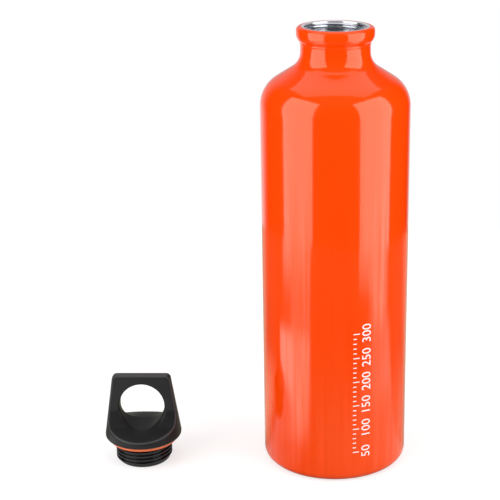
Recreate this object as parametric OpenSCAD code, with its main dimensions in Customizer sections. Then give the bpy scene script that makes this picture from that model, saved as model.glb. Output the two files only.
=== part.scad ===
// Camping fuel bottle with its screw cap taken off and standing beside it.
// The bottle is one seamless aluminium shell with a rolled lip and a thread cut in its neck.
// The cap is a moulded grip with a carry hole, a hollow threaded plug pressed into it and a seal ring.

/* [Bottle] */
// Outside diameter of the straight body
body_d = 73; // [66:0.5:82]
// Height from the foot ring to the top of the lip
bottle_h = 223.5; // [180:0.5:280]
// Wall thickness of the drawn body and shoulder
body_wall = 1.1; // [0.8:0.1:1.5]
// Thickness of the bottle's floor
floor_t = 1.6; // [1.2:0.1:2.4]
// Rounding between the body and the foot ring
foot_round_r = 4.4; // [3:0.1:6]
// Width of the flat ring that the bottle stands on
foot_ring_w = 2.6; // [1.5:0.1:4]
// Height of the hollow dome pressed up into the bottle's base
dome_h = 5; // [3:0.1:8]

/* [Shoulder and neck] */
// Radius of the outward curve at the top of the body
shoulder_round_r = 15.6; // [10:0.1:18]
// Radius of the inward curve where the shoulder meets the neck
shoulder_hollow_r = 9; // [5:0.1:11]
// Steepest lean of the shoulder away from upright, in degrees
shoulder_lean = 57.5; // [50:0.5:65]
// Outside diameter of the neck below the lip
neck_d = 33.9; // [33.4:0.1:35.6]
// Length of straight neck between the lip and the shoulder
neck_len = 5; // [3.5:0.1:9]
// Outside diameter of the rolled lip
lip_d = 37.9; // [37.2:0.1:40]
// Height of the rolled lip
lip_h = 7.2; // [6.4:0.1:8.5]
// Rounding of the lip's outer top edge
lip_round_r = 1.9; // [1.2:0.1:2.1]
// Rounding of the lip's inner top edge
mouth_round_r = 0.8; // [0.4:0.1:1]
// Diameter of the mouth at the lip's inner edge
mouth_d = 30; // [29.6:0.1:30.6]

/* [Thread] */
// Diameter of the neck's bore over the crests of its thread
neck_bore_d = 27.3; // [26.5:0.1:27.6]
// Rise of the thread in one turn
thread_pitch = 2; // [1.8:0.1:3]
// Depth of the thread
thread_depth = 1.1; // [0.8:0.05:1.15]
// Width of the plug's ridge at its root
ridge_root_w = 1; // [0.8:0.05:1.2]
// Width of the plug's ridge at its crest
ridge_crest_w = 0.45; // [0.3:0.05:0.6]
// Radial room between the plug's thread and the neck's
thread_clear = 0.35; // [0.2:0.05:0.5]
// Room on each flank of the plug's ridge
flank_clear = 0.15; // [0.1:0.05:0.25]

/* [Plug] */
// Length of the plug below the seal ring
plug_len = 11; // [9.5:0.5:14]
// Wall of the hollow plug at the root of its thread
plug_wall = 2.3; // [1.6:0.1:3]
// Thickness of the plug's closed top
plug_roof_t = 1.8; // [1.2:0.1:2.2]
// Slope cut on the plug's lower outer edge
plug_lead = 0.9; // [0.5:0.1:1.2]
// Width of the step that the grip's underside rests on
plug_step_w = 1.1; // [0.8:0.1:1.4]
// Height of the spigot that is pressed into the grip
spigot_h = 4; // [3.4:0.1:4.2]
// Height that the snap bead stands out of the spigot
snap_bead_r = 0.35; // [0.2:0.05:0.5]
// Number of ribs that keep the plug from turning in the grip
drive_rib_count = 6; // [3:1:10]
// Width of one drive rib
drive_rib_w = 2; // [1.2:0.1:3]
// Room between the spigot, with its bead and ribs, and the grip's socket
socket_clear = 0.1; // [0.05:0.05:0.2]

/* [Seal ring] */
// Thickness of the seal ring
seal_t = 2; // [1.4:0.1:2.6]
// Outside diameter of the seal ring
seal_d = 34.4; // [33.6:0.1:35]
// Rounding of the seal ring's edges
seal_round_r = 0.6; // [0.3:0.1:0.65]
// Running room between the seal ring and the cap
seal_clear = 0.3; // [0.2:0.05:0.4]

/* [Grip] */
// Height of the grip above its underside
grip_h = 33.5; // [30:0.5:40]
// Largest diameter of the grip's skirt
skirt_d = 39; // [38:0.5:42]
// Rounding under the skirt
skirt_round_r = 1.9; // [1:0.1:2.2]
// Width of the grip across its top
grip_top_w = 29.5; // [27.5:0.5:33]
// Thickness of the grip plate at its top
plate_t = 5.4; // [4.5:0.1:7]
// Extra thickness of the plate at its foot, on each side
plate_taper = 0.65; // [0.2:0.05:1]
// Rounding of the grip's upper edges
grip_edge_r = 1.1; // [0.5:0.1:1.6]
// Diameter of the carry hole
carry_hole_d = 23; // [20:0.5:24]
// Material between the carry hole and the grip's underside
hole_floor = 5.8; // [5.8:0.1:7]
// Radius of the hollow between the plate and its ledge
flare_r = 6; // [4:0.5:7]
// Fall of the ledge towards the skirt, in degrees
ledge_fall = 18; // [12:1:20]
// How far out the ledge stands level with the foot of the carry hole
ledge_reach = 13; // [11:0.5:14.5]

/* [Cap's place beside the bottle] */
// Distance from the bottle's axis to the cap's axis, to the left
cap_left = 99; // [70:1:140]
// Distance of the cap in front of the bottle's axis
cap_front = 8; // [-20:1:40]

/* [Hidden] */
$fn = 96;

arc_steps = 14;
thread_steps = 24;
overcut = 1;
body_r = body_d / 2;
neck_r = neck_d / 2;
lip_r = lip_d / 2;
mouth_r = mouth_d / 2;
bore_r = neck_bore_d / 2;

// Shoulder: a round, a straight slope and a hollow, each tangent to the next
shoulder_in = body_r - neck_r;
curve_in = (shoulder_round_r + shoulder_hollow_r) * (1 - cos(shoulder_lean));
slope_len = max(0.1, (shoulder_in - curve_in) / sin(shoulder_lean));
shoulder_rise = (shoulder_round_r + shoulder_hollow_r) * sin(shoulder_lean) + slope_len * cos(shoulder_lean);
neck_base_z = bottle_h - lip_h - neck_len;
shoulder_z = neck_base_z - shoulder_rise;

// Lip: an upright band, a rounded underside and a small step down to the neck
lip_band_share = 0.21;
lip_band_h = lip_h * lip_band_share;
lip_under_h = lip_h - lip_round_r - lip_band_h;
lip_step = 0.3;
lip_step_h = 1.1;
lip_step_r = neck_r + lip_step;
lip_under_in = lip_r - lip_step_r;
lip_under_r = (pow(lip_under_in, 2) + pow(lip_under_h, 2)) / (2 * lip_under_in);

// Base dome
foot_in_r = body_r - foot_round_r - foot_ring_w;
dome_r = (pow(foot_in_r, 2) + pow(dome_h, 2)) / (2 * dome_h);

// Inside of the neck
bore_top_z = bottle_h - mouth_round_r - (mouth_r - bore_r);
bore_past_plug = 2.6;
bore_end_z = bottle_h - plug_len - bore_past_plug;
neck_blend = 20;

// Plug, measured from the foot of the plug
plug_root_r = bore_r - thread_clear;
plug_in_r = plug_root_r - plug_wall;
grip_z = plug_len + seal_t;
spigot_r = plug_root_r - plug_step_w;
socket_r = spigot_r + socket_clear;
spigot_top_z = grip_z + spigot_h;
spigot_chamfer = 0.5;
bead_share = 0.45;
bead_z = grip_z + spigot_h * bead_share;
bead_foot = 0.5;
rib_share = 0.22;
rib_h = spigot_h * rib_share;
rib_past_bead = 0.3;
rib_out = snap_bead_r + rib_past_bead;
rib_sunk = 0.5;
ridge_above_foot = 0.7;
ridge_start_z = ridge_root_w / 2 + ridge_above_foot;
ridge_end_z = plug_len - seal_clear - ridge_root_w / 2;
ridge_turns = (ridge_end_z - ridge_start_z) / thread_pitch;

// Neck groove: the plug's ridge with the flank room added, open at the mouth
flank_slope = (ridge_root_w - ridge_crest_w) / thread_depth;
groove_mouth_w = ridge_root_w - flank_slope * thread_clear + 2 * flank_clear;
groove_floor_w = groove_mouth_w - flank_slope * thread_depth;
groove_lead = 0.6;
groove_start_z = bottle_h - plug_len + ridge_start_z - groove_lead;
groove_end_z = bottle_h - mouth_round_r;
groove_turns = (groove_end_z - groove_start_z) / thread_pitch;

// Seal ring
seal_in_r = plug_root_r + seal_clear;
seal_r = seal_d / 2;
seal_low_z = plug_len;
seal_top_z = grip_z - seal_clear;

// Grip, measured from the foot of the plug
grip_top_z = grip_z + grip_h;
skirt_r = skirt_d / 2;
carry_hole_r = carry_hole_d / 2;
hole_z = grip_z + hole_floor + carry_hole_r;
plate_half = plate_t / 2;
ledge_z = grip_z + hole_floor;
flare_end_in = flare_r * sin(ledge_fall);
flare_centre_y = plate_half + plate_taper + flare_r;
flare_end_y = flare_centre_y - flare_end_in;
flare_end_z = ledge_z + (ledge_reach - flare_end_y) * tan(ledge_fall);
flare_centre_z = flare_end_z + flare_r * cos(ledge_fall);
ledge_end_y = skirt_r + overcut;
ledge_end_z = ledge_z - (ledge_end_y - ledge_reach) * tan(ledge_fall);

cap_place = [-cap_left, -cap_front, 0];

// Points of an arc in the drawing plane, from one angle to another
function arc(centre, r, from, to, steps = arc_steps) = [
    for (i = [0:steps])
        let (a = from + (to - from) * i / steps)
            [centre[0] + r * cos(a), centre[1] + r * sin(a)]
];

// Outline of the body, shoulder and neck, taken inwards from the outer face by a wall
function shoulder_outline(wall, last_lean) = concat(
    arc([body_r - shoulder_round_r, shoulder_z], shoulder_round_r - wall, 0, shoulder_lean),
    arc([neck_r + shoulder_hollow_r, neck_base_z], shoulder_hollow_r + wall, 180 + shoulder_lean, 180 + last_lean)
);

// Four corners of a thread's cross-section on one ring; grow runs from 0, sunk in the wall, to 1
function thread_ring(r, depth, root_w, crest_w, sunk, angle, z, grow) =
    let (tip_r = r - sunk / 2 + (depth + sunk / 2) * grow)
    [
        [(r - sunk) * cos(angle), (r - sunk) * sin(angle), z - root_w / 2],
        [tip_r * cos(angle), tip_r * sin(angle), z - crest_w / 2],
        [tip_r * cos(angle), tip_r * sin(angle), z + crest_w / 2],
        [(r - sunk) * cos(angle), (r - sunk) * sin(angle), z + root_w / 2]
    ];

// A right-hand thread swept round a wall of radius r, fading in at its start and, if asked, out at its end
module thread_sweep(r, depth, root_w, crest_w, start_z, turns, fade_end = true) {
    sunk = 0.4;
    rings = ceil(turns * thread_steps);
    fade_rings = 4;
    points = [
        for (i = [0:rings])
            let (
                angle = 360 * turns * i / rings,
                z = start_z + thread_pitch * turns * i / rings,
                fade = fade_end ? min(i, rings - i) : i,
                grow = min(1, fade / fade_rings)
            )
                for (p = thread_ring(r, depth, root_w, crest_w, sunk, angle, z, grow)) p
    ];
    sides = [
        for (i = [0:rings - 1], k = [0:3])
            let (a = 4 * i + k, b = 4 * i + (k + 1) % 4)
                each [[a, b, b + 4], [a, b + 4, a + 4]]
    ];
    first = [[0, 2, 1], [0, 3, 2]];
    last = [for (f = [[0, 1, 2], [0, 2, 3]]) [for (k = f) 4 * rings + k]];
    polyhedron(points = points, faces = concat(sides, first, last), convexity = 10);
}

// Outside of the bottle as a solid, from the dome in its base up to the lip
module bottle_outside() {
    rotate_extrude()
        polygon(concat(
            arc([0, dome_h - dome_r], dome_r, 90, acos(foot_in_r / dome_r)),
            arc([body_r - foot_round_r, foot_round_r], foot_round_r, -90, 0),
            shoulder_outline(0, 0),
            [[neck_r, bottle_h - lip_h - lip_step_h], [lip_step_r, bottle_h - lip_h]],
            arc([lip_r - lip_under_r, bottle_h - lip_round_r - lip_band_h], lip_under_r,
                -asin(lip_under_h / lip_under_r), 0, 8),
            arc([lip_r - lip_round_r, bottle_h - lip_round_r], lip_round_r, 0, 90, 8),
            [[0, bottle_h]]
        ));
}

// Space inside the bottle, up to the foot of the neck's bore
module bottle_inside() {
    corner_r = foot_round_r - body_wall;
    rotate_extrude()
        polygon(concat(
            arc([0, dome_h - dome_r], dome_r + floor_t, 90, acos(foot_in_r / (dome_r + floor_t))),
            arc([body_r - foot_round_r, floor_t + corner_r], corner_r, -90, 0),
            shoulder_outline(body_wall, neck_blend),
            [[bore_r, bore_end_z], [0, bore_end_z]]
        ));
}

// Bore of the neck with its sloped and rounded mouth
module neck_bore() {
    translate([0, 0, bore_end_z - overcut])
        cylinder(r = bore_r, h = bottle_h - bore_end_z + 2 * overcut);
    rotate_extrude()
        polygon(concat(
            [[0, bore_top_z], [bore_r, bore_top_z]],
            arc([mouth_r + mouth_round_r, bottle_h - mouth_round_r], mouth_round_r, 180, 90, 6),
            [[mouth_r + mouth_round_r, bottle_h + overcut], [0, bottle_h + overcut]]
        ));
}

module bottle_shell() {
    color("orangered")
        difference() {
            bottle_outside();
            bottle_inside();
            neck_bore();
            thread_sweep(bore_r, thread_depth, groove_mouth_w, groove_floor_w,
                groove_start_z, groove_turns, fade_end = false);
        }
}

// Ribs round the spigot's foot; room widens them for the grip's slots
module drive_ribs(room) {
    for (i = [0:drive_rib_count - 1])
        rotate([0, 0, 360 * i / drive_rib_count])
            translate([spigot_r - rib_sunk, -drive_rib_w / 2 - room, grip_z - overcut])
                cube([rib_sunk + rib_out + room, drive_rib_w + 2 * room, rib_h + overcut + room]);
}

// Snap bead round the spigot; room widens it for the grip's groove
module snap_bead(room) {
    rotate_extrude()
        polygon([
            [spigot_r - bead_foot, bead_z - snap_bead_r - bead_foot - room],
            [spigot_r + snap_bead_r + room, bead_z],
            [spigot_r - bead_foot, bead_z + snap_bead_r + bead_foot + room]
        ]);
}

module cap_plug() {
    color("black")
        translate(cap_place) {
            difference() {
                rotate_extrude()
                    polygon([
                        [0, 0],
                        [plug_root_r - plug_lead, 0],
                        [plug_root_r, plug_lead],
                        [plug_root_r, grip_z],
                        [spigot_r, grip_z],
                        [spigot_r, spigot_top_z - spigot_chamfer],
                        [spigot_r - spigot_chamfer, spigot_top_z],
                        [0, spigot_top_z]
                    ]);
                translate([0, 0, -overcut])
                    cylinder(r = plug_in_r, h = spigot_top_z - plug_roof_t + overcut);
            }
            intersection() {
                drive_ribs(0);
                translate([0, 0, grip_z])
                    cylinder(r = spigot_r + rib_out, h = spigot_h);
            }
            snap_bead(0);
            thread_sweep(plug_root_r, thread_depth, ridge_root_w, ridge_crest_w, ridge_start_z, ridge_turns);
        }
}

module seal_ring() {
    rounds = [
        [seal_in_r + seal_round_r, seal_low_z + seal_round_r, 180],
        [seal_r - seal_round_r, seal_low_z + seal_round_r, 270],
        [seal_r - seal_round_r, seal_top_z - seal_round_r, 0],
        [seal_in_r + seal_round_r, seal_top_z - seal_round_r, 90]
    ];
    color("orange")
        translate(cap_place)
            rotate_extrude()
                polygon([for (c = rounds) each arc(c, seal_round_r, c[2], c[2] + 90, 6)]);
}

// Turned form of the grip: a skirt rounded underneath and sides that lean in to the top
module grip_turned() {
    rotate_extrude()
        polygon(concat(
            [[0, grip_z]],
            arc([skirt_r - skirt_round_r, grip_z + skirt_round_r], skirt_round_r, -90, 0, 8),
            arc([grip_top_w / 2 - grip_edge_r, grip_top_z - grip_edge_r], grip_edge_r, 0, 90, 6),
            [[0, grip_top_z]]
        ));
}

// One side of the grip seen end on: ledge, hollow, plate and rounded top
function grip_side() = concat(
    [[ledge_end_y, grip_z - overcut], [ledge_end_y, ledge_end_z]],
    arc([flare_centre_y, flare_centre_z], flare_r, 270 - ledge_fall, 180),
    arc([plate_half - grip_edge_r, grip_top_z - grip_edge_r], grip_edge_r, 0, 90, 6)
);

module grip_end_view() {
    side = grip_side();
    last = len(side) - 1;
    rotate([90, 0, 90])
        linear_extrude(height = skirt_d + 2 * overcut, center = true)
            polygon(concat(side, [for (i = [last:-1:0]) [-side[i][0], side[i][1]]]));
}

module cap_grip() {
    color("dimgray")
        translate(cap_place)
            difference() {
                intersection() {
                    grip_turned();
                    grip_end_view();
                }
                translate([0, 0, hole_z])
                    rotate([90, 0, 0])
                        cylinder(r = carry_hole_r, h = skirt_d + 2 * overcut, center = true);
                translate([0, 0, grip_z - overcut])
                    cylinder(r = socket_r, h = spigot_h + socket_clear + overcut);
                drive_ribs(socket_clear);
                snap_bead(socket_clear);
            }
}

bottle_shell();
cap_grip();
cap_plug();
seal_ring();
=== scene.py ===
import math

import bmesh
import bpy
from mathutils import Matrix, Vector

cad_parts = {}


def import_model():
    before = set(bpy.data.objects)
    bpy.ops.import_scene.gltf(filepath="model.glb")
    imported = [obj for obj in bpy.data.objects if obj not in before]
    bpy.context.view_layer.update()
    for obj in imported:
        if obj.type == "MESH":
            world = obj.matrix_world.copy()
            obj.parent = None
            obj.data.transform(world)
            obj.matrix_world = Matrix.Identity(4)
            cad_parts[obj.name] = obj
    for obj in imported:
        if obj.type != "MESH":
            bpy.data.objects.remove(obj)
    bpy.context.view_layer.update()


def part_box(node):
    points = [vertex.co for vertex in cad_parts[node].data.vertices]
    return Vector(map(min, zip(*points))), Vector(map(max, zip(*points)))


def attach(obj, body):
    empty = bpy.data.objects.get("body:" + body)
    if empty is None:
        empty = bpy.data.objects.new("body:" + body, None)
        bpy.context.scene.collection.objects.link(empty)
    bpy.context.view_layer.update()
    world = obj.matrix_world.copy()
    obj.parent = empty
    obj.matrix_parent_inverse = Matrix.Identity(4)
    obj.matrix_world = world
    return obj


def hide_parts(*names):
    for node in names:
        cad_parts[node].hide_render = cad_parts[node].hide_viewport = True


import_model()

MM = 0.001

# Places that come from the frame, in millimetres
shell_low, shell_high = (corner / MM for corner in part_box("bottle_shell"))
grip_low, grip_high = (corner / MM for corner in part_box("cap_grip"))
ring_low, ring_high = (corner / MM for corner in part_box("seal_ring"))

# Bottle, in millimetres
BODY_R = (shell_high.x - shell_low.x) / 2
BOTTLE_H = shell_high.z
BODY_WALL = 1.1
FLOOR_T = 1.6
FOOT_ROUND_R = 4.4
FOOT_RING_W = 2.6
DOME_H = 5.0
SHOULDER_ROUND_R = 15.6
SHOULDER_HOLLOW_R = 9.0
SHOULDER_LEAN = 57.5
NECK_R = 16.95
NECK_LEN = 5.0
LIP_R = 18.95
LIP_H = 7.2
LIP_ROUND_R = 1.9
LIP_BAND_H = 1.512
LIP_STEP = 0.4
MOUTH_R = 15.0
MOUTH_ROUND_R = 0.8
BARE_R = 16.4
BORE_R = 13.65

# Threads, in millimetres and turns
THREAD_PITCH = 2.0
THREAD_DEPTH = 1.1
GROOVE_MOUTH_W = 1.125
GROOVE_FLOOR_W = 0.575
GROOVE_START = BOTTLE_H - 11.0 + 1.2 - 0.6
RIDGE_ROOT_W = 1.0
RIDGE_CREST_W = 0.45
RIDGE_START = 1.2
RIDGE_TURNS = 4.5
ENDLESS = 99.0

# Cap, in millimetres above the plug's foot
CAP_FOOT = Vector(((grip_low.x + grip_high.x) / 2, (grip_low.y + grip_high.y) / 2, 0.0))
PLUG_R = 13.3
PLUG_IN_R = 11.0
SPIGOT_R = 12.2
SPIGOT_TOP = 17.0
PLUG_ROOF_T = 1.8
SNAP_BEAD_R = 0.35
GRIP_FOOT = grip_low.z
GRIP_TOP = grip_high.z
SKIRT_R = (grip_high.x - grip_low.x) / 2
SKIRT_ROUND_R = 1.9
GRIP_TOP_R = 14.75
CARRY_HOLE_R = 11.5
CARRY_HOLE_Z = GRIP_FOOT + 5.8 + CARRY_HOLE_R
SEAL_IN_R = 13.6
SEAL_R = (ring_high.x - ring_low.x) / 2
SEAL_ROUND_R = 0.6


# Node trees: sums written like plain arithmetic, and short calls for nodes

class Sum:
    """A number in a node tree that takes part in plain arithmetic."""

    def __init__(self, tree, socket):
        self.tree = tree
        self.socket = socket

    def work(self, operation, *values):
        made = self.tree.nodes.new("ShaderNodeMath")
        made.operation = operation
        for socket, value in zip(made.inputs, values):
            put(self.tree, socket, value)
        return Sum(self.tree, made.outputs[0])

    def __add__(self, other):
        return self.work("ADD", self, other)

    def __sub__(self, other):
        return self.work("SUBTRACT", self, other)

    def __rsub__(self, other):
        return self.work("SUBTRACT", other, self)

    def __mul__(self, other):
        return self.work("MULTIPLY", self, other)

    def __truediv__(self, other):
        return self.work("DIVIDE", self, other)

    def at_least(self, other):
        return self.work("MAXIMUM", self, other)

    def at_most(self, other):
        return self.work("MINIMUM", self, other)

    def size(self):
        return self.work("ABSOLUTE", self)

    def whole(self):
        return self.work("ROUND", self)

    def floor(self):
        return self.work("FLOOR", self)

    def modulo(self, other):
        return self.work("MODULO", self, other)

    def sine(self):
        return self.work("SINE", self)

    def cosine(self):
        return self.work("COSINE", self)

    def length_with(self, other):
        return self.work("SQRT", self * self + other * other)

    def ramp(self, start, end, low=0.0, high=1.0):
        """A smooth change from low at start to high at end."""
        inputs = {"Value": self, "From Min": start, "From Max": end, "To Min": low, "To Max": high}
        made = add(self.tree, "ShaderNodeMapRange", inputs, interpolation_type="SMOOTHSTEP")
        return Sum(self.tree, made.outputs["Result"])


def put(tree, socket, value):
    """Links a socket to another socket or a sum, or gives it a plain value."""
    if isinstance(value, Sum):
        value = value.socket
    if isinstance(value, bpy.types.NodeSocket):
        tree.links.new(value, socket)
    else:
        socket.default_value = value


def add(tree, kind, inputs=None, **settings):
    """Adds a node, with its settings and its inputs by name or number."""
    made = tree.nodes.new(kind)
    for name, value in settings.items():
        setattr(made, name, value)
    for name, value in (inputs or {}).items():
        put(tree, made.inputs[name], value)
    return made


def parts_of(tree, vector):
    made = add(tree, "ShaderNodeSeparateXYZ", {0: vector})
    return [Sum(tree, socket) for socket in made.outputs]


def vector_of(tree, x, y, z):
    return add(tree, "ShaderNodeCombineXYZ", {0: x, 1: y, 2: z}).outputs[0]


def new_tree(name, kind, inputs, outputs):
    """A node tree with named inputs, each (name, kind, value), and outputs, each (name, kind)."""
    tree = bpy.data.node_groups.new(name, kind)
    for label, socket_kind, value in inputs:
        socket = tree.interface.new_socket(label, in_out="INPUT", socket_type="NodeSocket" + socket_kind)
        if value is not None:
            socket.default_value = value
    for label, socket_kind in outputs:
        tree.interface.new_socket(label, in_out="OUTPUT", socket_type="NodeSocket" + socket_kind)
    start = tree.nodes.new("NodeGroupInput")
    end = tree.nodes.new("NodeGroupOutput")
    return tree, start.outputs, end.inputs


def shape_from(name, tree, source, values):
    """Runs a geometry tree on a source mesh and keeps the result as a plain mesh object."""
    maker = bpy.data.objects.new(name + "_maker", source)
    bpy.context.collection.objects.link(maker)
    modifier = maker.modifiers.new("tree", "NODES")
    modifier.node_group = tree
    for item in tree.interface.items_tree:
        if item.in_out == "INPUT" and item.name in values:
            modifier[item.identifier] = values[item.name]
    evaluated = maker.evaluated_get(bpy.context.evaluated_depsgraph_get())
    mesh = bpy.data.meshes.new_from_object(evaluated)
    bpy.data.objects.remove(maker)
    bpy.data.meshes.remove(source)
    mesh.name = name
    face_outwards(mesh)
    piece = bpy.data.objects.new(name, mesh)
    bpy.context.collection.objects.link(piece)
    return piece


def face_outwards(mesh):
    work = bmesh.new()
    work.from_mesh(mesh)
    bmesh.ops.remove_doubles(work, verts=work.verts, dist=1e-6)
    bmesh.ops.recalc_face_normals(work, faces=work.faces)
    work.to_mesh(mesh)
    work.free()


# Outlines of turned pieces, as rows of (distance from the axis, height) in millimetres

def arc(centre_r, centre_z, r, start, end, step=7.5):
    """Rows along an arc, from one angle to another in degrees."""
    steps = max(2, math.ceil(abs(end - start) / step))
    angles = [math.radians(start + (end - start) * i / steps) for i in range(steps + 1)]
    return [(centre_r + r * math.cos(a), centre_z + r * math.sin(a)) for a in angles]


def filled(rows, longest):
    """The same rows with more between any two that lie further apart than longest."""
    full = [rows[0]]
    for (r0, z0), (r1, z1) in zip(rows, rows[1:]):
        gap = math.hypot(r1 - r0, z1 - z0)
        if gap < 1e-4:
            continue
        steps = math.ceil(gap / longest)
        full += [(r0 + (r1 - r0) * i / steps, z0 + (z1 - z0) * i / steps) for i in range(1, steps + 1)]
    return full


def outline_mesh(rows, threaded, inside):
    """A mesh of the outline's rows, with marks for its threaded rows and its inside rows."""
    mesh = bpy.data.meshes.new("outline")
    mesh.from_pydata([(r * MM, 0.0, z * MM) for r, z in rows], [], [])
    for name, test in (("threaded", threaded), ("inside", inside)):
        marks = mesh.attributes.new(name, "FLOAT", "POINT")
        marks.data.foreach_set("value", [float(test(i, r, z)) for i, (r, z) in enumerate(rows)])
    return mesh


# Tree that turns an outline round an axis and cuts or raises a thread on it

def turned_form_tree():
    tree, given, result = new_tree(
        "turned_form", "GeometryNodeTree",
        [
            ("Outline", "Geometry", None),
            ("Steps", "Int", 192),
            ("Foot", "Vector", (0.0, 0.0, 0.0)),
            ("Thread Wall", "Float", 0.0137),
            ("Thread Depth", "Float", 0.0011),
            ("Thread Pitch", "Float", 0.0025),
            ("Thread Start", "Float", 0.0),
            ("Thread Turns", "Float", 4.0),
            ("Root Width", "Float", 0.001),
            ("Crest Width", "Float", 0.00045),
            ("Outer Finish", "Material", None),
            ("Inner Finish", "Material", None),
        ],
        [("Form", "Geometry")],
    )
    outline = given["Outline"]
    count = add(tree, "GeometryNodeAttributeDomainSize", {0: outline}, component="MESH").outputs["Point Count"]
    columns = Sum(tree, given["Steps"]) + 1.0
    grid = add(tree, "GeometryNodeMeshGrid", {"Vertices X": columns, "Vertices Y": count}).outputs["Mesh"]
    index = Sum(tree, tree.nodes.new("GeometryNodeInputIndex").outputs[0])
    rows = Sum(tree, count)
    row = index.modulo(rows)
    round_share = (index / rows).floor() / given["Steps"]

    def from_outline(field, kind):
        inputs = {0: outline, "Value": field, "Index": row}
        return add(tree, "GeometryNodeSampleIndex", inputs, data_type=kind, domain="POINT").outputs[0]

    def mark(name):
        return add(tree, "GeometryNodeInputNamedAttribute", {"Name": name}, data_type="FLOAT").outputs[0]

    r, _, z = parts_of(tree, from_outline(tree.nodes.new("GeometryNodeInputPosition").outputs[0], "FLOAT_VECTOR"))
    threaded = Sum(tree, from_outline(mark("threaded"), "FLOAT"))
    inside = from_outline(mark("inside"), "FLOAT")

    # Distance along the axis from the nearest turn of the thread, and how far along the thread that is
    turns_up = (z - given["Thread Start"]) / given["Thread Pitch"] - round_share
    nearest = turns_up.whole()
    off_ridge = (turns_up - nearest).size() * given["Thread Pitch"]
    along = nearest + round_share
    ridge = off_ridge.ramp(Sum(tree, given["Crest Width"]) / 2.0, Sum(tree, given["Root Width"]) / 2.0, 1.0, 0.0)
    fade_in = along.ramp(0.0, 0.16)
    fade_out = (Sum(tree, given["Thread Turns"]) - along).ramp(0.0, 0.16)
    ridge_r = ridge * fade_in * fade_out * given["Thread Depth"] + given["Thread Wall"]
    final_r = r + (ridge_r - r).at_least(0.0) * threaded

    angle = round_share * (2 * math.pi)
    place = vector_of(tree, angle.cosine() * final_r, angle.sine() * final_r, z)
    moved = add(tree, "ShaderNodeVectorMath", {0: place, 1: given["Foot"]}, operation="ADD").outputs[0]
    kept = add(
        tree, "GeometryNodeStoreNamedAttribute", {0: grid, "Name": "inside", "Value": inside},
        data_type="FLOAT", domain="POINT",
    ).outputs[0]
    turned = add(tree, "GeometryNodeSetPosition", {0: kept, "Position": moved}).outputs[0]
    merged = add(tree, "GeometryNodeMergeByDistance", {0: turned, "Distance": 4e-6}).outputs[0]
    smooth = add(tree, "GeometryNodeSetShadeSmooth", {0: merged}).outputs[0]
    outer = add(tree, "GeometryNodeSetMaterial", {0: smooth, "Material": given["Outer Finish"]}).outputs[0]
    is_inside = add(tree, "FunctionNodeCompare", {0: mark("inside"), 1: 0.75}, operation="GREATER_THAN").outputs[0]
    real = add(tree, "GeometryNodeRealizeInstances", {0: outer}).outputs[0]
    inputs = {0: real, "Selection": is_inside, "Material": given["Inner Finish"]}
    put(tree, result[0], add(tree, "GeometryNodeSetMaterial", inputs).outputs[0])
    return tree


# Tree that moulds the cap's grip as one rounded body

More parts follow.
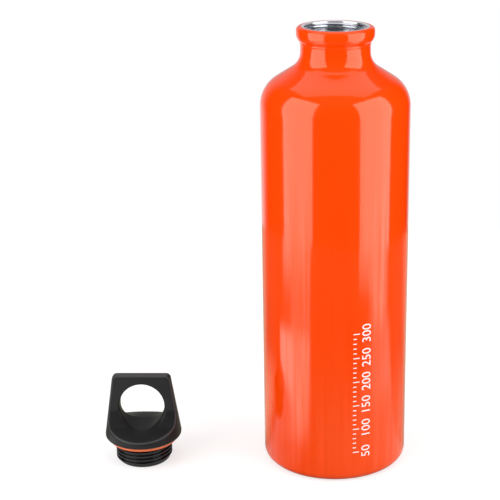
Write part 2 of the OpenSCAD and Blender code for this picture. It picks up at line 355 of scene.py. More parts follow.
def moulded_grip_tree():
    tree, given, result = new_tree(
        "moulded_grip", "GeometryNodeTree",
        [
            ("Blank", "Geometry", None),
            ("Foot", "Vector", (0.0, 0.0, 0.0)),
            ("Voxel", "Float", 0.3),
            ("Underside", "Float", 13.0),
            ("Top", "Float", 46.5),
            ("Skirt Radius", "Float", 19.5),
            ("Skirt Rounding", "Float", 1.9),
            ("Top Radius", "Float", 14.75),
            ("Edge Rounding", "Float", 1.1),
            ("Corner Rounding", "Float", 2.0),
            ("Plate Half", "Float", 2.7),
            ("Plate Taper", "Float", 0.65),
            ("Hollow Radius", "Float", 6.0),
            ("Ledge Height", "Float", 5.8),
            ("Ledge Reach", "Float", 13.0),
            ("Ledge Fall", "Float", 0.325),
            ("Hole Radius", "Float", 11.5),
            ("Hole Height", "Float", 30.3),
            ("Hole Rounding", "Float", 0.65),
            ("Socket Radius", "Float", 12.35),
            ("Socket Top", "Float", 17.2),
            ("Finish", "Material", None),
        ],
        [("Grip", "Geometry")],
    )

    def size(name):
        return Sum(tree, given[name])

    def both(a, b, rounding):
        """Inside both, with a rounded edge."""
        corner = (a + rounding).at_least(0.0).length_with((b + rounding).at_least(0.0))
        return a.at_least(b).at_most(rounding * -1.0) + corner

    def edge_share(a, b, rounding):
        """How near a rounded edge's middle a point lies, from 0 to 1."""
        return (a.at_most(b) + rounding) * 1.414 / rounding

    def either(a, b, rounding):
        """Inside either, with a hollow where they meet."""
        corner = (rounding - a).at_least(0.0).length_with((rounding - b).at_least(0.0))
        return a.at_most(b).at_least(rounding) - corner

    position = tree.nodes.new("GeometryNodeInputPosition").outputs[0]
    from_foot = add(tree, "ShaderNodeVectorMath", {0: position, 1: given["Foot"]}, operation="SUBTRACT").outputs[0]
    in_mm = add(tree, "ShaderNodeVectorMath", {0: from_foot, 3: 1 / MM}, operation="SCALE").outputs[0]
    x, y, z = parts_of(tree, in_mm)
    across = y.size()
    out = x.length_with(y)

    lean = (size("Skirt Radius") - given["Top Radius"]) / (size("Top") - given["Underside"] - given["Skirt Rounding"])
    side_r = size("Skirt Radius") - (z - given["Underside"] - given["Skirt Rounding"]) * lean
    side = (out - side_r) * 0.989
    turned = both(side, size("Underside") - z, size("Skirt Rounding"))
    turned = both(turned, z - size("Top"), size("Corner Rounding"))

    plate_height = size("Top") - given["Underside"] - given["Ledge Height"]
    plate = across - size("Plate Half") - (size("Top") - z) * given["Plate Taper"] / plate_height
    ledge = z - given["Underside"] - given["Ledge Height"] + (across - given["Ledge Reach"]) * given["Ledge Fall"]
    upright = either(plate, ledge * 0.951, size("Hollow Radius"))

    edge = edge_share(turned, upright, size("Edge Rounding"))
    body = both(turned, upright, size("Edge Rounding"))
    hole = size("Hole Radius") - x.length_with(z - given["Hole Height"])
    below = (size("Hole Height") - z) / given["Hole Radius"]
    body = both(body, hole, size("Hole Rounding") * below.ramp(-0.3, 0.7, 1.0, 3.2))
    socket = (size("Socket Radius") - out).at_most(size("Socket Top") - z)
    body = body.at_least(socket)

    # The body is thick where the density is over 1, one unit for each millimetre of depth
    reach = size("Skirt Radius") * MM + 0.002
    low = vector_of(tree, reach * -1.0, reach * -1.0, size("Underside") * MM - 0.002)
    high = vector_of(tree, reach, reach, size("Top") * MM + 0.002)
    low = add(tree, "ShaderNodeVectorMath", {0: low, 1: given["Foot"]}, operation="ADD").outputs[0]
    high = add(tree, "ShaderNodeVectorMath", {0: high, 1: given["Foot"]}, operation="ADD").outputs[0]
    across_count = reach * 2.0 / MM / given["Voxel"]
    up_count = (size("Top") - given["Underside"] + 4.0) / given["Voxel"]
    cube = add(
        tree, "GeometryNodeVolumeCube",
        {
            "Density": 1.0 - body, "Background": 0.0, "Min": low, "Max": high,
            "Resolution X": across_count, "Resolution Y": across_count, "Resolution Z": up_count,
        },
    ).outputs[0]
    skin = add(
        tree, "GeometryNodeVolumeToMesh",
        {"Volume": cube, "Threshold": 1.0, "Adaptivity": 0.0},
        resolution_mode="GRID",
    ).outputs[0]

    # Points slide along their own normal onto the exact body
    normal = tree.nodes.new("GeometryNodeInputNormal").outputs[0]
    slide = add(tree, "ShaderNodeVectorMath", {0: normal, 3: body * -MM}, operation="SCALE").outputs[0]
    exact = add(tree, "GeometryNodeSetPosition", {0: skin, "Offset": slide}).outputs[0]
    # The edge mark is 1 on the rounded edges and on the top face; the finish lightens the grip there as a painted
    # highlight
    on_top = ((z - given["Top"]) * 4.0 + 1.0) * 1.6
    marked = add(
        tree, "GeometryNodeStoreNamedAttribute",
        {0: exact, "Name": "edge", "Value": edge.ramp(0.4, 1.0).at_least(on_top)},
        data_type="FLOAT", domain="POINT",
    ).outputs[0]
    smooth = add(tree, "GeometryNodeSetShadeSmooth", {0: marked}).outputs[0]
    real = add(tree, "GeometryNodeRealizeInstances", {0: smooth}).outputs[0]
    put(tree, result[0], add(tree, "GeometryNodeSetMaterial", {0: real, "Material": given["Finish"]}).outputs[0])
    return tree


# Effects that more than one finish uses

def tone_drift_effect():
    """A slow change of a colour's brightness over the surface."""
    group, given, result = new_tree(
        "tone_drift", "ShaderNodeTree",
        [("Colour", "Color", (1, 1, 1, 1)), ("Scale", "Float", 30.0), ("Amount", "Float", 0.05)],
        [("Colour", "Color")],
    )
    coordinates = group.nodes.new("ShaderNodeTexCoord").outputs["Object"]
    noise = add(group, "ShaderNodeTexNoise", {"Vector": coordinates, "Scale": given["Scale"], "Detail": 3.0})
    drift = Sum(group, noise.outputs["Fac"]) - 0.5
    value = drift * given["Amount"] * 4.0 + 1.0
    toned = add(group, "ShaderNodeHueSaturation", {"Color": given["Colour"], "Value": value})
    put(group, result[0], toned.outputs["Color"])
    return group


def fine_grain_effect():
    """A fine even grain: its height, and a roughness that follows it."""
    group, given, result = new_tree(
        "fine_grain", "ShaderNodeTree",
        [("Scale", "Float", 2500.0), ("Roughness", "Float", 0.4), ("Spread", "Float", 0.06)],
        [("Height", "Float"), ("Roughness", "Float")],
    )
    coordinates = group.nodes.new("ShaderNodeTexCoord").outputs["Object"]
    fine = add(group, "ShaderNodeTexNoise", {"Vector": coordinates, "Scale": given["Scale"], "Detail": 2.0})
    coarse_scale = Sum(group, given["Scale"]) * 0.07
    coarse = add(group, "ShaderNodeTexNoise", {"Vector": coordinates, "Scale": coarse_scale, "Detail": 4.0})
    put(group, result["Height"], fine.outputs["Fac"])
    roughness = Sum(group, given["Roughness"]) + (Sum(group, coarse.outputs["Fac"]) - 0.5) * given["Spread"] * 4.0
    put(group, result["Roughness"], roughness)
    return group


def turning_lines_effect():
    """Fine rings about the bottle's axis, as a lathe or a spinning tool leaves them."""
    group, given, result = new_tree(
        "turning_lines", "ShaderNodeTree",
        [("Lines Per Metre", "Float", 2500.0), ("Waver", "Float", 0.1)],
        [("Height", "Float"), ("Shade", "Float")],
    )
    coordinates = group.nodes.new("ShaderNodeTexCoord").outputs["Object"]
    x, y, z = parts_of(group, coordinates)
    out = x.length_with(y)
    along = (z + out * 0.73) * given["Lines Per Metre"]
    sweep = vector_of(group, x * 40.0 * given["Waver"], y * 40.0 * given["Waver"], along)
    lines = add(group, "ShaderNodeTexNoise", {"Vector": sweep, "Scale": 1.0, "Detail": 3.0})
    put(group, result["Height"], lines.outputs["Fac"])
    put(group, result["Shade"], lines.outputs["Fac"])
    return group


def draw_lines_effect():
    """Faint upright streaks about the bottle's axis, clearer toward the foot, as drawing leaves them."""
    group, given, result = new_tree(
        "draw_lines", "ShaderNodeTree",
        [("Lines Round", "Float", 15.0), ("Clear Height", "Float", 0.115), ("Faint Height", "Float", 0.17)],
        [("Streak", "Float")],
    )
    coordinates = group.nodes.new("ShaderNodeTexCoord").outputs["Object"]
    x, y, z = parts_of(group, coordinates)
    out = x.length_with(y).at_least(0.001)
    sweep = vector_of(group, x / out * given["Lines Round"], y / out * given["Lines Round"], z * 9.0)
    lines = add(group, "ShaderNodeTexNoise", {"Vector": sweep, "Scale": 1.0, "Detail": 5.0, "Roughness": 0.65})
    amount = z.ramp(given["Clear Height"], given["Faint Height"], 1.0, 0.2)
    put(group, result["Streak"], (Sum(group, lines.outputs["Fac"]) - 0.5) * amount)
    return group


TONE_DRIFT = tone_drift_effect()
DRAW_LINES = draw_lines_effect()
FINE_GRAIN = fine_grain_effect()
TURNING_LINES = turning_lines_effect()


def new_finish(name):
    finish = bpy.data.materials.new(name)
    finish.use_nodes = True
    shader = finish.node_tree.nodes["Principled BSDF"]
    return finish, finish.node_tree, shader


def effect(tree, group, inputs):
    made = tree.nodes.new("ShaderNodeGroup")
    made.node_tree = group
    for name, value in inputs.items():
        put(tree, made.inputs[name], value)
    return made.outputs


def raise_surface(tree, shader, height, distance, strength=1.0):
    bump = add(tree, "ShaderNodeBump", {"Height": height, "Distance": distance, "Strength": strength})
    tree.links.new(bump.outputs["Normal"], shader.inputs["Normal"])


def orange_lacquer():
    finish, tree, shader = new_finish("orange_lacquer")
    toned = effect(tree, TONE_DRIFT, {"Colour": (0.86, 0.053, 0.0007, 1), "Scale": 14.0, "Amount": 0.015})
    streak = Sum(tree, effect(tree, DRAW_LINES, {})["Streak"])
    grain = effect(tree, FINE_GRAIN, {"Scale": 900.0, "Roughness": 0.12, "Spread": 0.02})
    streaked = add(tree, "ShaderNodeHueSaturation", {"Color": toned["Colour"], "Value": streak * 0.25 + 1.0})
    put(tree, shader.inputs["Base Color"], streaked.outputs["Color"])
    put(tree, shader.inputs["Roughness"], grain["Roughness"])
    shader.inputs["Specular Tint"].default_value = (1.0, 0.94, 0.62, 1)
    put(tree, shader.inputs["Coat Weight"], streak * 2.4 + 0.32)
    shader.inputs["Coat Roughness"].default_value = 0.05
    raise_surface(tree, shader, grain["Height"], 0.000004)
    return finish


def bare_aluminium():
    finish, tree, shader = new_finish("bare_aluminium")
    toned = effect(tree, TONE_DRIFT, {"Colour": (0.78, 0.79, 0.84, 1), "Scale": 90.0, "Amount": 0.06})
    lines = effect(tree, TURNING_LINES, {"Lines Per Metre": 3500.0, "Waver": 0.5})
    put(tree, shader.inputs["Base Color"], toned["Colour"])
    put(tree, shader.inputs["Roughness"], Sum(tree, lines["Shade"]).ramp(0.2, 0.8, 0.1, 0.2))
    _, _, z = parts_of(tree, tree.nodes.new("ShaderNodeTexCoord").outputs["Object"])
    put(tree, shader.inputs["Metallic"], z.ramp(BOTTLE_H * MM - 0.0006, BOTTLE_H * MM - 0.0002, 1.0, 0.45))
    raise_surface(tree, shader, lines["Height"], 0.00002)
    return finish


def black_moulding():
    finish, tree, shader = new_finish("black_moulding")
    toned = effect(tree, TONE_DRIFT, {"Colour": (0.011, 0.011, 0.0115, 1), "Scale": 120.0, "Amount": 0.08})
    grain = effect(tree, FINE_GRAIN, {"Scale": 1300.0, "Roughness": 0.4, "Spread": 0.06})
    # Rounded edges and the top face take a lighter grey from the edge mark: a painted highlight
    edge = add(tree, "ShaderNodeAttribute", attribute_name="edge").outputs["Fac"]
    painted_edge_highlight = add(
        tree, "ShaderNodeMix", {0: edge, 6: toned["Colour"], 7: (0.055, 0.055, 0.058, 1)}, data_type="RGBA",
    )
    put(tree, shader.inputs["Base Color"], painted_edge_highlight.outputs[2])
    put(tree, shader.inputs["Roughness"], grain["Roughness"])
    shader.inputs["Specular IOR Level"].default_value = 0.16
    raise_surface(tree, shader, grain["Height"], 0.00012, 0.8)
    return finish


def black_plug_gloss():
    finish, tree, shader = new_finish("black_plug_gloss")
    toned = effect(tree, TONE_DRIFT, {"Colour": (0.005, 0.005, 0.0055, 1), "Scale": 150.0, "Amount": 0.06})
    grain = effect(tree, FINE_GRAIN, {"Scale": 1500.0, "Roughness": 0.11, "Spread": 0.03})
    put(tree, shader.inputs["Base Color"], toned["Colour"])
    put(tree, shader.inputs["Roughness"], grain["Roughness"])
    shader.inputs["Specular IOR Level"].default_value = 0.45
    raise_surface(tree, shader, grain["Height"], 0.00001, 0.4)
    return finish


def orange_silicone():
    finish, tree, shader = new_finish("orange_silicone")
    toned = effect(tree, TONE_DRIFT, {"Colour": (0.84, 0.17, 0.05, 1), "Scale": 200.0, "Amount": 0.04})
    grain = effect(tree, FINE_GRAIN, {"Scale": 2600.0, "Roughness": 0.5, "Spread": 0.04})
    put(tree, shader.inputs["Base Color"], toned["Colour"])
    put(tree, shader.inputs["Roughness"], grain["Roughness"])
    raise_surface(tree, shader, grain["Height"], 0.00002, 0.5)
    return finish


def white_ink():
    finish, tree, shader = new_finish("white_ink")
    toned = effect(tree, TONE_DRIFT, {"Colour": (0.84, 0.82, 0.80, 1), "Scale": 260.0, "Amount": 0.04})
    grain = effect(tree, FINE_GRAIN, {"Scale": 3000.0, "Roughness": 0.4, "Spread": 0.04})
    put(tree, shader.inputs["Base Color"], toned["Colour"])
    put(tree, shader.inputs["Roughness"], grain["Roughness"])
    raise_surface(tree, shader, grain["Height"], 0.00001, 0.3)
    return finish


LACQUER = orange_lacquer()
ALUMINIUM = bare_aluminium()
MOULDING = black_moulding()
PLUG_GLOSS = black_plug_gloss()
SILICONE = orange_silicone()
TURNED_FORM = turned_form_tree()
MOULDED_GRIP = moulded_grip_tree()


# Pieces

def bottle_rows():
    """The bottle's outline from the middle of its base, up outside and down inside."""
    foot_in_r = BODY_R - FOOT_ROUND_R - FOOT_RING_W
    dome_r = (foot_in_r ** 2 + DOME_H ** 2) / (2 * DOME_H)
    dome_z = DOME_H - dome_r
    lean = math.radians(SHOULDER_LEAN)
    curves = SHOULDER_ROUND_R + SHOULDER_HOLLOW_R
    slope_len = (BODY_R - NECK_R - curves * (1 - math.cos(lean))) / math.sin(lean)
    neck_z = BOTTLE_H - LIP_H - NECK_LEN
    shoulder_z = neck_z - curves * math.sin(lean) - slope_len * math.cos(lean)
    under_h = LIP_H - LIP_ROUND_R - LIP_BAND_H
    under_in = LIP_R - NECK_R - LIP_STEP
    under_r = (under_in ** 2 + under_h ** 2) / (2 * under_in)
    under_angle = math.degrees(math.asin(under_h / under_r))
    corner_r = FOOT_ROUND_R - BODY_WALL
    round_r = BODY_R - SHOULDER_ROUND_R
    hollow_r = NECK_R + SHOULDER_HOLLOW_R

    outside = filled(
        arc(0.0, dome_z, dome_r, 90, math.degrees(math.acos((foot_in_r - 0.2) / dome_r)), 2)
        + [(foot_in_r + 0.15, 0.0)]
        + arc(BODY_R - FOOT_ROUND_R, FOOT_ROUND_R, FOOT_ROUND_R, -90, 0)
        + arc(round_r, shoulder_z, SHOULDER_ROUND_R, 0, SHOULDER_LEAN, 4)
        + arc(hollow_r, neck_z, SHOULDER_HOLLOW_R, 180 + SHOULDER_LEAN, 180, 5)
        + [(NECK_R, BOTTLE_H - LIP_H - 1.5), (NECK_R + 0.05, BOTTLE_H - LIP_H - 1.35)]
        + [(NECK_R + 0.22, BOTTLE_H - LIP_H - 1.1), (NECK_R + 0.24, BOTTLE_H - LIP_H - 0.45)]
        + [(NECK_R + 0.28, BOTTLE_H - LIP_H - 0.2)]
        + arc(LIP_R - under_r, BOTTLE_H - LIP_ROUND_R - LIP_BAND_H, under_r, -under_angle, 0, 6)
        + arc(LIP_R - LIP_ROUND_R, BOTTLE_H - LIP_ROUND_R, LIP_ROUND_R, 0, 90)
        + [(BARE_R, BOTTLE_H)],
        4.0,
    )
    neck = [outside[-1]] + filled(
        arc(MOUTH_R + MOUTH_ROUND_R, BOTTLE_H - MOUTH_ROUND_R, MOUTH_ROUND_R, 90, 180, 15)
        + [(BORE_R, BOTTLE_H - MOUTH_ROUND_R - MOUTH_R + BORE_R), (BORE_R, BOTTLE_H - 13.6)],
        0.085,
    )
    inside = filled(
        [(BORE_R, BOTTLE_H - 13.6)]
        + arc(hollow_r, neck_z, SHOULDER_HOLLOW_R + BODY_WALL, 200, 180 + SHOULDER_LEAN, 5)
        + arc(round_r, shoulder_z, SHOULDER_ROUND_R - BODY_WALL, SHOULDER_LEAN, 0, 4)
        + arc(BODY_R - FOOT_ROUND_R, FLOOR_T + corner_r, corner_r, 0, -90)
        + arc(0.0, dome_z, dome_r + FLOOR_T, math.degrees(math.acos(foot_in_r / (dome_r + FLOOR_T))), 90, 2),
        6.0,
    )
    return outside, neck[1:], inside[1:]


def bottle_shell():
    outside, neck, inside = bottle_rows()
    rows = outside + neck + inside
    bare_from = len(outside) - 1
    thread_end = len(outside) + len(neck)
    source = outline_mesh(
        rows,
        lambda i, r, z: bare_from < i < thread_end,
        lambda i, r, z: i >= bare_from,
    )
    return shape_from(
        "bottle_shell_dressed", TURNED_FORM, source,
        {
            "Steps": 192, "Foot": (0.0, 0.0, 0.0),
            "Thread Wall": BORE_R * MM, "Thread Depth": THREAD_DEPTH * MM,
            "Thread Pitch": THREAD_PITCH * MM, "Thread Start": GROOVE_START * MM, "Thread Turns": ENDLESS,
            "Root Width": GROOVE_MOUTH_W * MM, "Crest Width": GROOVE_FLOOR_W * MM,
            "Outer Finish": LACQUER, "Inner Finish": ALUMINIUM,
        },
    )


def cap_plug():
    roof_z = SPIGOT_TOP - PLUG_ROOF_T
    bead_z = GRIP_FOOT + 1.8
    lower = filled(
        arc(PLUG_IN_R - 0.6, roof_z - 0.6, 0.6, 90, 0, 15)
        + arc(PLUG_IN_R + 0.3, 0.3, 0.3, 180, 270, 30)
        + arc(PLUG_R - 1.0, 0.3, 0.3, -90, -45, 22)
        + [(PLUG_R - 0.1, 0.8)],
        2.0,
    )
    wall = filled([(PLUG_R - 0.1, 0.8), (PLUG_R, 1.0), (PLUG_R, GRIP_FOOT - 1.6)], 0.085)
    upper = (
        [(PLUG_R, GRIP_FOOT - 0.15), (PLUG_R - 0.15, GRIP_FOOT), (SPIGOT_R + 0.1, GRIP_FOOT)]
        + [(SPIGOT_R, GRIP_FOOT + 0.1), (SPIGOT_R, bead_z - 0.5), (SPIGOT_R + SNAP_BEAD_R, bead_z)]
        + [(SPIGOT_R, bead_z + 0.5), (SPIGOT_R, SPIGOT_TOP - 0.5), (SPIGOT_R - 0.5, SPIGOT_TOP)]
        + [(0.0, SPIGOT_TOP)]
    )
    rows = [(0.0, roof_z)] + lower + wall[1:] + upper
    source = outline_mesh(
        rows,
        lambda i, r, z: r > PLUG_R - 0.2 and 0.5 < z < GRIP_FOOT - 1.5,
        lambda i, r, z: False,
    )
    return shape_from(
        "cap_plug_dressed", TURNED_FORM, source,
        {
            "Steps": 192, "Foot": CAP_FOOT * MM,
            "Thread Wall": PLUG_R * MM, "Thread Depth": THREAD_DEPTH * MM,
            "Thread Pitch": THREAD_PITCH * MM, "Thread Start": RIDGE_START * MM, "Thread Turns": RIDGE_TURNS,
            "Root Width": RIDGE_ROOT_W * MM, "Crest Width": RIDGE_CREST_W * MM,
            "Outer Finish": PLUG_GLOSS, "Inner Finish": PLUG_GLOSS,
        },
    )


def seal_ring():
    low, high = ring_low.z, ring_high.z
    corners = [
        (SEAL_IN_R + SEAL_ROUND_R, low + SEAL_ROUND_R, 180),
        (SEAL_R - SEAL_ROUND_R, low + SEAL_ROUND_R, 270),
        (SEAL_R - SEAL_ROUND_R, high - SEAL_ROUND_R, 360),
        (SEAL_IN_R + SEAL_ROUND_R, high - SEAL_ROUND_R, 450),
    ]
    rows = []
    for r, z, start in corners:
        rows += arc(r, z, SEAL_ROUND_R, start, start + 90, 15)
    rows = filled(rows + rows[:1], 1.0)
    source = outline_mesh(rows, lambda i, r, z: False, lambda i, r, z: False)
    return shape_from(
        "seal_ring_dressed", TURNED_FORM, source,
        {"Steps": 160, "Foot": CAP_FOOT * MM, "Outer Finish": SILICONE, "Inner Finish": SILICONE},
    )


def cap_grip():
    blank = bpy.data.meshes.new("blank")
    return shape_from(
        "cap_grip_dressed", MOULDED_GRIP, blank,
        {
            "Foot": CAP_FOOT * MM, "Voxel": 0.3,
            "Underside": GRIP_FOOT, "Top": GRIP_TOP,
            "Skirt Radius": SKIRT_R, "Skirt Rounding": SKIRT_ROUND_R, "Top Radius": GRIP_TOP_R,
            "Hole Radius": CARRY_HOLE_R, "Hole Height": CARRY_HOLE_Z, "Finish": MOULDING,
        },
    )


# Tree that prints the fill scale: short and long marks, and the numbers, wrapped round the body

def fill_scale_tree():
    tree, given, result = new_tree(
        "fill_scale", "GeometryNodeTree",
        [
            ("Numbers", "Geometry", None),
            ("Marks", "Int", 26),
            ("Spacing", "Float", 0.00254),
            ("Short Mark", "Float", 0.0017),
            ("Long Mark", "Float", 0.0032),
            ("Marks Per Long", "Int", 5),
            ("Line Width", "Float", 0.0005),
            ("Lowest Mark", "Float", 0.01605),
            ("Body Radius", "Float", 0.0365),
            ("Turn From Front", "Float", 0.4),
            ("Raised", "Float", 0.00005),
            ("Sunk", "Float", 0.00012),
            ("Ink", "Material", None),
        ],
        [("Print", "Geometry")],
    )
    index = Sum(tree, tree.nodes.new("GeometryNodeInputIndex").outputs[0])
    lowest = vector_of(tree, 0.0, 0.0, given["Lowest Mark"])
    step = vector_of(tree, 0.0, 0.0, given["Spacing"])
    line = add(tree, "GeometryNodeMeshLine", {"Count": given["Marks"], "Start Location": lowest, "Offset": step})
    is_long = (1.0 - index.modulo(given["Marks Per Long"])).at_least(0.0)
    length = Sum(tree, given["Short Mark"]) + is_long * (Sum(tree, given["Long Mark"]) - given["Short Mark"])
    bar = add(
        tree, "GeometryNodeMeshCube",
        {"Size": vector_of(tree, 1.0, 1.0, given["Line Width"]), "Vertices X": 5, "Vertices Y": 2, "Vertices Z": 2},
    )
    centred = add(
        tree, "GeometryNodeTransform", {0: bar.outputs["Mesh"], "Translation": (0.5, 0.5, 0.0)},
    ).outputs[0]
    scale = vector_of(tree, length, 1.0, 1.0)
    inputs = {"Points": line.outputs[0], "Instance": centred, "Scale": scale}
    marks = add(tree, "GeometryNodeInstanceOnPoints", inputs).outputs[0]
    real = add(tree, "GeometryNodeRealizeInstances", {0: marks}).outputs[0]
    both = tree.nodes.new("GeometryNodeJoinGeometry")
    tree.links.new(given["Numbers"], both.inputs[0])
    tree.links.new(real, both.inputs[0])

    # Flat print has its length round the body in x, its height in z, and y from 0 outside to 1 inside
    position = tree.nodes.new("GeometryNodeInputPosition").outputs[0]
    along, depth, height = parts_of(tree, position)
    thickness = Sum(tree, given["Raised"]) + given["Sunk"]
    r = Sum(tree, given["Body Radius"]) + given["Raised"] - depth * thickness
    angle = along / given["Body Radius"] + given["Turn From Front"]
    wrapped = vector_of(tree, angle.sine() * r, angle.cosine() * r * -1.0, height)
    moved = add(tree, "GeometryNodeSetPosition", {0: both.outputs[0], "Position": wrapped}).outputs[0]
    put(tree, result[0], add(tree, "GeometryNodeSetMaterial", {0: moved, "Material": given["Ink"]}).outputs[0])
    return tree


def number_outline(work, text, height, left, low):
    """Adds one number to a flat mesh, turned so that it reads upwards."""
    letters = bpy.data.curves.new("number", "FONT")
    letters.body = text
    letters.size = height * 1.42
    letters.align_x = "CENTER"
    letters.resolution_u = 4
    holder = bpy.data.objects.new("number", letters)
    flat = bpy.data.meshes.new_from_object(holder)
    bpy.data.objects.remove(holder)
    bpy.data.curves.remove(letters)
    for point in flat.vertices:
        x, y, _ = point.co
        point.co = (left + height - y, 0.0, low + x)
    work.from_mesh(flat)
    bpy.data.meshes.remove(flat)


def fill_scale_numbers():
    """The numbers from 50 to 300 as thin closed letters, cut fine enough to bend round the body."""
    work = bmesh.new()
    for i in range(6):
        number_outline(work, str(50 * (i + 1)), 0.0047, 0.0044, 0.01605 + 0.00254 * 5 * i)
    bmesh.ops.remove_doubles(work, verts=work.verts, dist=1e-6)
    for i in range(1, 12):
        everything = work.verts[:] + work.edges[:] + work.faces[:]
        bmesh.ops.bisect_plane(work, geom=everything, plane_co=(0.001 * i, 0, 0), plane_no=(1, 0, 0), dist=1e-7)
    faces = bmesh.ops.extrude_face_region(work, geom=work.faces[:])["geom"]
    for point in (part for part in faces if isinstance(part, bmesh.types.BMVert)):
        point.co.y = 1.0
    bmesh.ops.triangulate(work, faces=work.faces)
    mesh = bpy.data.meshes.new("numbers")
    work.to_mesh(mesh)
    work.free()
    return mesh


def fill_scale():
    return shape_from(
        "fill_scale_print", fill_scale_tree(), fill_scale_numbers(),
        {"Body Radius": BODY_R * MM, "Turn From Front": math.radians(14.0), "Ink": white_ink()},
    )


def dress(piece, body, node):
    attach(piece, body)
    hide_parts(node)


dress(bottle_shell(), "bottle", "bottle_shell")
dress(cap_grip(), "cap", "cap_grip")
dress(cap_plug(), "cap", "cap_plug")
dress(seal_ring(), "seal", "seal_ring")
scale_print = fill_scale()
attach(scale_print, "bottle")


# Camera, floor and light

def camera():
    lens = bpy.data.cameras.new("photo_view")
    lens.lens = 99.4
    lens.sensor_width = 36.0
    lens.shift_x = -0.148
    lens.clip_start = 0.05
    view = bpy.data.objects.new("photo_view", lens)
    view.location = (-0.0055, -0.656, 0.3336)
    view.rotation_euler = (math.radians(71.25), 0.0, 0.0)
    bpy.context.collection.objects.link(view)
    bpy.context.scene.camera = view


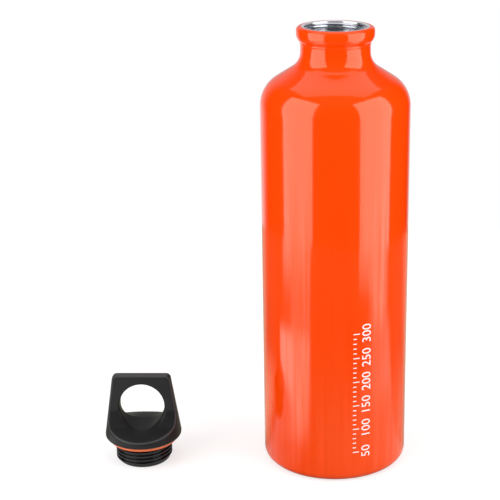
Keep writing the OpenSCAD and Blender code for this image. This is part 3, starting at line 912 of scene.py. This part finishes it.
def floor():
    work = bmesh.new()
    bmesh.ops.create_circle(work, cap_ends=True, segments=96, radius=0.4)
    mesh = bpy.data.meshes.new("floor")
    work.to_mesh(mesh)
    work.free()
    disc = bpy.data.objects.new("floor", mesh)
    disc.location = (-0.01, 0.0, -0.00005)
    bpy.context.collection.objects.link(disc)
    finish, tree, shader = new_finish("floor_white")
    shader.inputs["Roughness"].default_value = 0.9
    shader.inputs["Specular IOR Level"].default_value = 0.0
    shader.inputs["Emission Color"].default_value = (1, 1, 1, 1)
    sees = tree.nodes.new("ShaderNodeLightPath")
    glow = Sum(tree, sees.outputs["Is Camera Ray"]) * 0.62
    x, y, z = parts_of(tree, tree.nodes.new("ShaderNodeNewGeometry").outputs["Position"])
    out = x.length_with(y)
    # Glossy rays alone see the floor glow in soft bands to the left and right in front of the bottle, stronger near
    # its foot and dimmer by the cap: painted reflections of light in the bottle and the cap
    mirrored = Sum(tree, sees.outputs["Is Glossy Ray"])
    from_cap = (x - CAP_FOOT.x * MM).length_with(y - CAP_FOOT.y * MM)
    beside = (0.008 - y).ramp(0.0, 0.015)
    left_share = (x * -0.79 + y * 0.613 + 0.012).ramp(0.0, 0.02) * out.ramp(0.06, 0.115)
    right_share = (x * 0.368 + y * 0.93 + out.ramp(0.27, 0.34, 0.095, 0.15)).ramp(0.0, 0.07)
    right_share = right_share * out.ramp(0.07, 0.16)
    right_edge = (y * -1.0).ramp(0.0, 0.08, out.ramp(0.2, 0.26, 1.0, 0.0), 1.0)
    right_share = right_share * right_edge * x.ramp(0.0, 0.04)
    far_left = (y / out * -1.0).ramp(0.3, 0.45, 0.1, 1.15)
    far_left = out.ramp(0.25, 0.43, far_left, 2.4) * (y * -1.0).ramp(0.01, 0.05)
    lit = left_share * out.ramp(0.208, 0.24, 2.6, far_left) * from_cap.ramp(0.025, 0.065, 0.3, 1.0)
    far_right = (x * 0.828 + y * 0.561).ramp(0.0, 0.02) * right_edge * out.ramp(0.27, 0.42, 0.3, 2.4)
    far_right = far_right * out.ramp(0.29, 0.31)
    lit = lit + (right_share * out.ramp(0.2, 0.28, 1.1, 2.4)).at_least(far_right)
    near_left = (x * -1.0 - out * 0.45).ramp(0.0, 0.02) * 0.55
    near_right = (x - out * 0.45).ramp(0.0, 0.02) * 0.25
    lit = lit + (near_left + near_right) * out.ramp(0.075, 0.115, 1.0, 0.0)
    put(tree, shader.inputs["Emission Strength"], glow + mirrored * beside * lit)
    plain = 0.45
    # Glossy rays see the floor darker in front of and beside the bottle and near the cap, lighter behind to the left,
    # and less blue: painted shade and light in reflections
    before_cap = from_cap.ramp(0.05, 0.12, 0.1, 1.0).at_least(y.ramp(-0.008, 0.012))
    behind_left = (y.ramp(0.0, 0.03) * (0.02 - x).ramp(0.0, 0.03)) * 0.3
    near_mirrored_shade = (out.ramp(0.05, 0.2, 0.48, 0.1) + out.ramp(0.12, 0.19, 1.0, 0.0) * behind_left) * before_cap
    mirrored_shade = (y / out).ramp(0.5, 0.85) * (plain - near_mirrored_shade) + near_mirrored_shade
    pale = mirrored * (mirrored_shade - plain) + plain
    blue = mirrored * (mirrored_shade * 0.75 - plain) + plain
    put(tree, shader.inputs["Base Color"], vector_of(tree, pale, pale, blue))
    mesh.materials.append(finish)


def panel(name, azimuth, elevation, distance, width, height, radiance, aim):
    """A soft light panel; azimuth is counted from the front, to the right, in degrees."""
    lamp = bpy.data.lights.new(name, "AREA")
    lamp.shape = "RECTANGLE"
    lamp.size = width
    lamp.size_y = height
    lamp.energy = radiance * math.pi * width * height
    holder = bpy.data.objects.new(name, lamp)
    turn, lift = math.radians(azimuth), math.radians(elevation)
    flat = distance * math.cos(lift)
    place = Vector((flat * math.sin(turn), -flat * math.cos(turn), distance * math.sin(lift))) + aim
    holder.location = place
    holder.rotation_euler = (place - aim).to_track_quat("Z", "Y").to_euler()
    holder.visible_camera = False
    bpy.context.collection.objects.link(holder)
    return holder


def world():
    sky = bpy.data.worlds.new("studio")
    bpy.context.scene.world = sky
    sky.use_nodes = True
    tree = sky.node_tree
    background = tree.nodes["Background"]
    sees = tree.nodes.new("ShaderNodeLightPath").outputs
    direction = tree.nodes.new("ShaderNodeTexCoord").outputs["Generated"]
    side, back, up = parts_of(tree, direction)
    behind = (back - side.at_least(0.0) * 0.4).ramp(0.55, 0.9)
    low_down = up.ramp(-0.4, 0.2, 0.9, 0.4)
    mirrored = behind * low_down + up.ramp(0.4, 0.9, 0.0, 0.1)
    seen = Sum(tree, sees["Is Camera Ray"])
    glossy = Sum(tree, sees["Is Glossy Ray"]).at_least(sees["Is Transmission Ray"]) * (1.0 - seen)
    rest = (1.0 - seen) * (1.0 - glossy)
    strength = seen + glossy * mirrored + rest * 0.52
    background.inputs["Color"].default_value = (1, 1, 1, 1)
    put(tree, background.inputs["Strength"], strength)


camera()
floor()
world()
middle = Vector((0.0, 0.0, 0.1))
panel("left_panel", -60, 10, 0.9, 0.9, 1.5, 2.75, middle)
panel("right_panel", 64, 10, 0.9, 0.96, 1.5, 2.85, middle)
panel("top_panel", 180, 79, 0.95, 1.35, 0.8, 0.87, middle + Vector((0.0, 0.0, 0.09)))
bpy.context.scene.view_settings.view_transform = "Standard"
